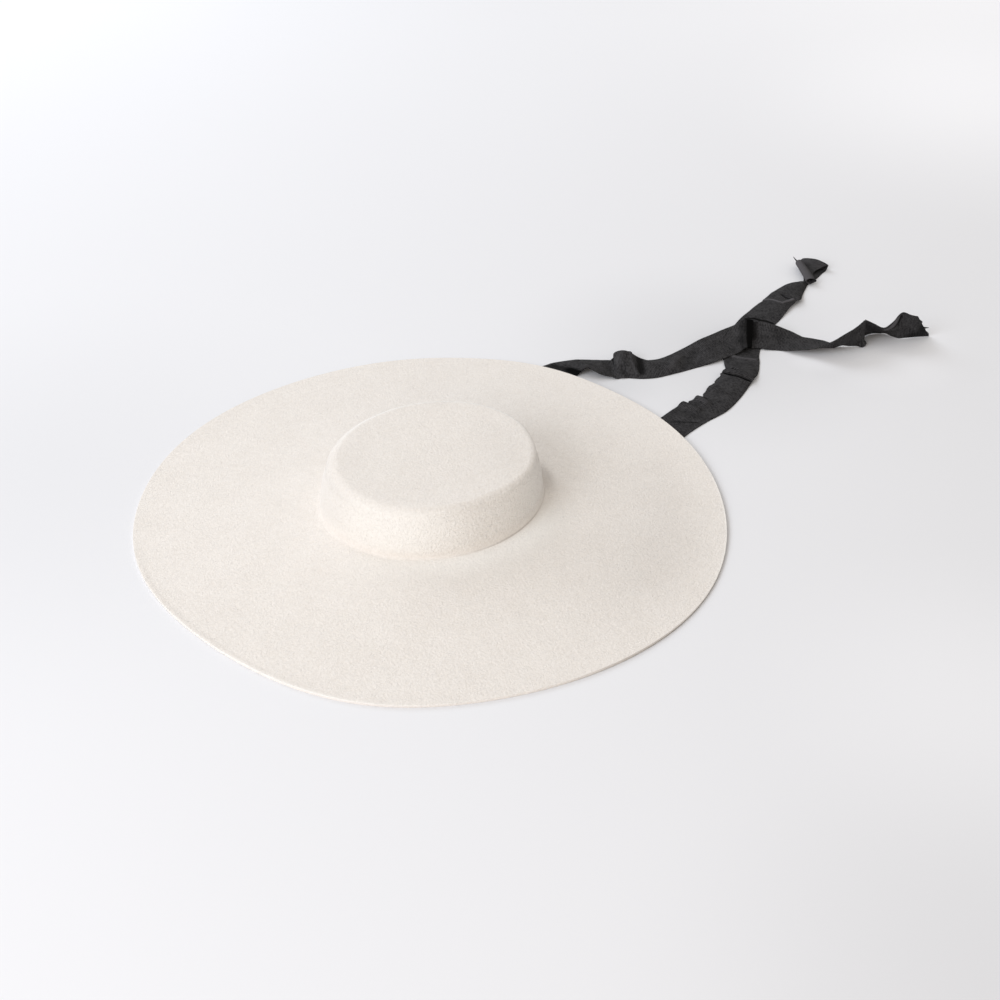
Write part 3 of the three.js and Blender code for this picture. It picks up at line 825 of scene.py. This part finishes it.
def hidden_rows(tie, felt, width):
    """Rows of a tie's hidden stretch: sewn end, turn under the crown's foot, fold, run to the brim's edge."""
    side, fold, rows = tie["side"], tie["fold"], tie["rows"]
    across_axis, along_axis = CROWN_FOOT_R - OVAL_FOOT, CROWN_FOOT_R + OVAL_FOOT
    sag = (width / 2) ** 2 / (2 * along_axis**2 / across_axis)
    off = felt.thickness / MM + TIE_GAP + TIE_SOLID / 2 + sag
    across = 180 + side * 90
    foot_z = foot_corner(felt)[1]

    def wall(z):
        up = (z - foot_z) / (CROWN_TOP_Z - foot_z)
        r = CROWN_FOOT_R + (CROWN_TOP_R - CROWN_FOOT_R) * up
        return np.array([r - OVAL_FOOT - (OVAL_TOP - OVAL_FOOT) * up, z])

    brim = brim_point(TURN_SHARE, felt) - (OVAL_FOOT, 0)
    turn = rounded_corner(wall(SEAM_TOP_Z), (across_axis, foot_z), brim, TURN_ROUND, TURN_STEPS)
    path = [wall(SEAM_TOP_Z), wall((SEAM_TOP_Z + SEAM_FOOT_Z) / 2), wall(SEAM_FOOT_Z), *turn]
    sewn = []
    for i, point in enumerate(path):
        along = unit(path[min(i + 1, len(path) - 1)] - path[max(i - 1, 0)])
        x, z = point[0] + along[1] * off, point[1] - along[0] * off
        sewn.append((side * x, 0, z, across, 0, width, 0))

    exit_x, exit_y = rows[0][:2]
    heading = math.atan2(exit_y, exit_x - side * fold)
    crease = heading / 2 if side > 0 else (math.pi - heading) / 2
    reach = width / 2 / math.tan(crease)
    length = math.hypot(exit_x - side * fold, exit_y)
    upper = TIE_FLAT_Z + FOLD_LIFT

    def skewed(share):
        skew = share * (math.pi / 2 - crease)
        span = width / math.cos(min(skew, math.pi - 2 * crease - skew))
        return across - side * math.degrees(skew), 0, span, 0

    def inward(distance):
        return side * (fold - distance), 0

    def onward(distance):
        return side * fold + distance * math.cos(heading), distance * math.sin(heading)

    return [
        *sewn,
        (*inward(reach + FOLD_EASE), upper + FOLD_LIFT, *skewed(0)),
        (*inward(reach / 2), upper + FOLD_LIFT / 2, *skewed(0.5)),
        (*inward(0), upper, *skewed(1)),
        (*inward(-FOLD_LIFT / 2), upper - FOLD_LIFT / 2, *skewed(1)),
        (*inward(0), TIE_FLAT_Z, *skewed(1)),
        (*onward(reach / 2), TIE_FLAT_Z, *skewed(1.5)),
        (*onward(reach + FOLD_EASE), TIE_FLAT_Z, *skewed(2)),
        (*onward(length / 2), TIE_FLAT_Z, *skewed(2)),
        (*onward(length - width), TIE_FLAT_Z, *skewed(2)),
    ]


def tie_surface(hidden, shown):
    """Middle surface of a tie, in millimetres: steps x cells + 1 x 3, and each step's place in its rows."""
    rows = np.array([*hidden, *shown], dtype=float)
    swing = np.radians(np.abs(np.diff(rows[:, 3])))
    reach = np.linalg.norm(np.diff(rows[:, :3], axis=0), axis=1) + swing * SWING_REACH
    stride = np.where(np.arange(len(reach)) < len(hidden), HIDDEN_STEP, TIE_STEP)
    counts = np.maximum(np.ceil(reach / stride).astype(int), 2)
    place = np.concatenate([*(k + np.arange(n) / n for k, n in enumerate(counts)), [len(rows) - 1]])
    centre = spline(rows[:, :3], counts)
    bearing, tilt, span = spline(rows[:, 3:6], counts).T
    arch = np.interp(place, np.arange(len(rows)), rows[:, 6])
    bearing, tilt = np.radians(bearing), np.radians(tilt)
    aim = np.stack([np.cos(tilt) * np.cos(bearing), np.cos(tilt) * np.sin(bearing), np.sin(tilt)], axis=1)
    run = unit(np.gradient(centre, axis=0))
    up = unit(np.cross(run, aim))
    across = np.linspace(-0.5, 0.5, TIE_CELLS + 1)
    surface = (
        centre[:, None]
        + aim[:, None] * (span[:, None] * across)[..., None]
        + up[:, None] * (arch[:, None] * (1 - 4 * across**2))[..., None]
    )
    return surface, place - len(hidden)


def surface_normals(surface):
    return unit(np.cross(np.gradient(surface, axis=0), np.gradient(surface, axis=1)))


def to_polyline(points, line):
    """Distance of each point in a plane from a line of straight parts."""
    least = np.full(points.shape[:-1], np.inf)
    for a, b in zip(line, line[1:]):
        part = np.clip((points - a) @ (b - a) / max((b - a) @ (b - a), 1e-9), 0, 1)
        least = np.minimum(least, np.linalg.norm(points - a - part[..., None] * (b - a), axis=-1))
    return least


def creased(surface, place, width, creases, notches):
    """The surface of a tie with its creases, drawn-in edges and a slight unevenness, and its painted light
    and shade.
    """
    run = run_lengths(surface[:, TIE_CELLS // 2])
    across = np.linspace(-width / 2, width / 2, TIE_CELLS + 1)
    spread = np.stack(np.broadcast_arrays(run[:, None], across[None, :]), axis=-1)
    height = np.array([
        0.3 * noise.noise(Vector((s / 13, a / 17, 3.0))) + 0.12 * noise.noise(Vector((s / 5, a / 6, 9.0)))
        for s, a in spread.reshape(-1, 2)
    ]).reshape(spread.shape[:2])
    height *= np.clip(place / 0.5, 0, 1)[:, None]
    tone = np.zeros_like(height)
    for points, half, depth, lighter in creases:
        line = [np.array([np.interp(p, place, run), a]) for p, a in points]
        near = np.exp(-(to_polyline(spread, line) / half) ** 3)
        # Painted light and shade of each crease.
        height += depth * near
        tone += lighter * near
    inward = unit(np.gradient(surface, axis=1))
    drawn = np.zeros_like(height)
    for at, side, half, depth in notches:
        near = bell(run, np.interp(at, place, run), half)
        drawn -= side * depth * near[:, None] * np.clip(side * across * 2 / width, 0, 1)[None, :] ** 4
    surface = surface + surface_normals(surface) * height[..., None] + inward * drawn[..., None]
    return surface, np.clip(tone, -1, 1)


def frayed(surface, width, frays):
    """The surface of a tie with its raw end drawn out into tufts of thread."""
    across = np.linspace(-width / 2, width / 2, TIE_CELLS + 1)
    reach = np.array([0.4 * abs(noise.noise(Vector((a * 0.9, 0.5, 4.0)))) for a in across])
    for at, half, length in frays:
        reach += length * bell(across, at, half)
    out = unit(surface[-1] - surface[-5])
    surface = surface.copy()
    for k in range(FRAY_STEPS):
        surface[-1 - k] += out * (reach * (1 - k / FRAY_STEPS) ** 2)[:, None]
    return surface


def run_lengths(path):
    return np.concatenate([[0], np.cumsum(np.linalg.norm(np.diff(path, axis=0), axis=1))])


def strip_mesh(surface, thickness, width):
    """Points, faces and weave coordinates of a closed strip round a middle surface."""
    rows, columns = surface.shape[:2]
    half = surface_normals(surface) * thickness / 2
    points = np.concatenate([(surface + half).reshape(-1, 3), (surface - half).reshape(-1, 3)])
    points[:, 2] = np.maximum(points[:, 2], LOWEST_Z)
    along = run_lengths(surface[:, columns // 2])
    across = np.linspace(-width / 2, width / 2, columns)
    weave = np.stack(np.broadcast_arrays(across[None, :], along[:, None]), axis=-1).reshape(-1, 2)
    under = rows * columns
    faces = []
    for i in range(rows - 1):
        for j in range(columns - 1):
            a, b = i * columns + j, (i + 1) * columns + j
            faces.append((a, b, b + 1, a + 1))
            faces.append((under + a, under + a + 1, under + b + 1, under + b))
        a, b = i * columns, (i + 1) * columns
        faces.append((a, under + a, under + b, b))
        a, b = a + columns - 1, b + columns - 1
        faces.append((a, b, under + b, under + a))
    last = (rows - 1) * columns
    for j in range(columns - 1):
        faces.append((j, j + 1, under + j + 1, under + j))
        faces.append((last + j, under + last + j, under + last + j + 1, last + j + 1))
    return points, faces, np.concatenate([weave, weave])


class HAT_OT_ties(bpy.types.Operator):
    """Make the two ribbon ties, sewn in the crown and lying loose on the table"""

    bl_idname = "hat.ties"
    bl_label = "Ribbon ties"

    def execute(self, context):
        sizes, felt = context.scene.hat_ties, context.scene.hat_felt
        width = sizes.width / MM
        material = ribbon_finish(sizes)
        for name, tie in TIES.items():
            surface, place = tie_surface(hidden_rows(tie, felt, width), tie["rows"])
            surface[..., 2] = np.maximum(surface[..., 2], TIE_FLAT_Z)
            surface, tone = creased(surface, place, width, CREASES[name], NOTCHES[name])
            surface = frayed(surface, width, FRAYS[name])
            surface[..., 2] = np.maximum(surface[..., 2], TIE_FLAT_Z) - TIE_SINK
            points, faces, weave = strip_mesh(surface, sizes.thickness / MM, width)
            both_sides = np.tile(tone.ravel(), 2)
            piece = new_piece(name.replace("tie", "ribbon"), points, faces, material, weave, both_sides)
            path = surface[:, TIE_CELLS // 2] * MM
            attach(piece, "root")
            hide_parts(name)
        return {"FINISHED"}


class HAT_OT_stage(bpy.types.Operator):
    """Set the camera, the pale floor and the soft light"""

    bl_idname = "hat.stage"
    bl_label = "Floor, light and camera"

    def execute(self, context):
        scene, stage = context.scene, context.scene.hat_stage
        camera = bpy.data.objects.new("camera", bpy.data.cameras.new("camera"))
        camera.data.lens = stage.lens
        camera.data.sensor_width = 36
        eye, aim = Vector(stage.eye), Vector(stage.aim)
        camera.location = eye
        camera.rotation_euler = (aim - eye).to_track_quat("-Z", "Y").to_euler()
        scene.collection.objects.link(camera)
        scene.camera = camera

        signs = ((-1, -1), (1, -1), (1, 1), (-1, 1))
        corners = [(x * FLOOR_REACH, y * FLOOR_REACH, FLOOR_Z) for x, y in signs]
        floor = new_piece("floor", corners, [(0, 1, 2, 3)], floor_finish(stage))

        world = bpy.data.worlds.new("studio")
        world.use_nodes = True
        sky = next(n for n in world.node_tree.nodes if n.type == "BACKGROUND")
        sky.inputs["Color"].default_value = (*WARM, 1.0)
        sky.inputs["Strength"].default_value = stage.sky
        scene.world = world

        ahead = (aim - eye).to_2d().normalized()
        left = Vector((-ahead.y, ahead.x))
        for name, place, target, size, power, colour in SOFT_LIGHTS:
            light = bpy.data.lights.new(name, "AREA")
            light.shape = "SQUARE"
            light.size = size
            light.energy = power * stage.light
            light.color = colour
            lamp = bpy.data.objects.new(name, light)
            lamp.location = Vector((*(-left * place[0] - ahead * place[1]), place[2]))
            lamp.visible_camera = False
            aimed = Vector((*(-left * target[0] - ahead * target[1]), 0))
            lamp.rotation_euler = (aimed - lamp.location).to_track_quat("-Z", "Y").to_euler()
            scene.collection.objects.link(lamp)

        scene.view_settings.view_transform = "Standard"
        return {"FINISHED"}


class HAT_PT_panel(bpy.types.Panel):
    """Sizes, colours and making of the hat"""

    bl_label = "Felt hat"
    bl_idname = "HAT_PT_panel"
    bl_space_type = "VIEW_3D"
    bl_region_type = "UI"
    bl_category = "Hat"

    def draw(self, context):
        scene = context.scene
        for operator, group in (
            (HAT_OT_stage, scene.hat_stage),
            (HAT_OT_ties, scene.hat_ties),
            (HAT_OT_felt, scene.hat_felt),
        ):
            box = self.layout.box()
            box.operator(operator.bl_idname)
            for name in type(group).__annotations__:
                box.prop(group, name)


CLASSES = (
    FeltProperties, TieProperties, StageProperties, HAT_OT_stage, HAT_OT_ties, HAT_OT_felt, HAT_PT_panel,
)


def register():
    for cls in CLASSES:
        bpy.utils.register_class(cls)
    bpy.types.Scene.hat_felt = PointerProperty(type=FeltProperties)
    bpy.types.Scene.hat_ties = PointerProperty(type=TieProperties)
    bpy.types.Scene.hat_stage = PointerProperty(type=StageProperties)


def unregister():
    del bpy.types.Scene.hat_stage
    del bpy.types.Scene.hat_ties
    del bpy.types.Scene.hat_felt
    for cls in reversed(CLASSES):
        bpy.utils.unregister_class(cls)


def main():
    register()
    bpy.ops.hat.stage()
    bpy.ops.hat.ties()
    bpy.ops.hat.felt()


if __name__ == "__main__":
    main()
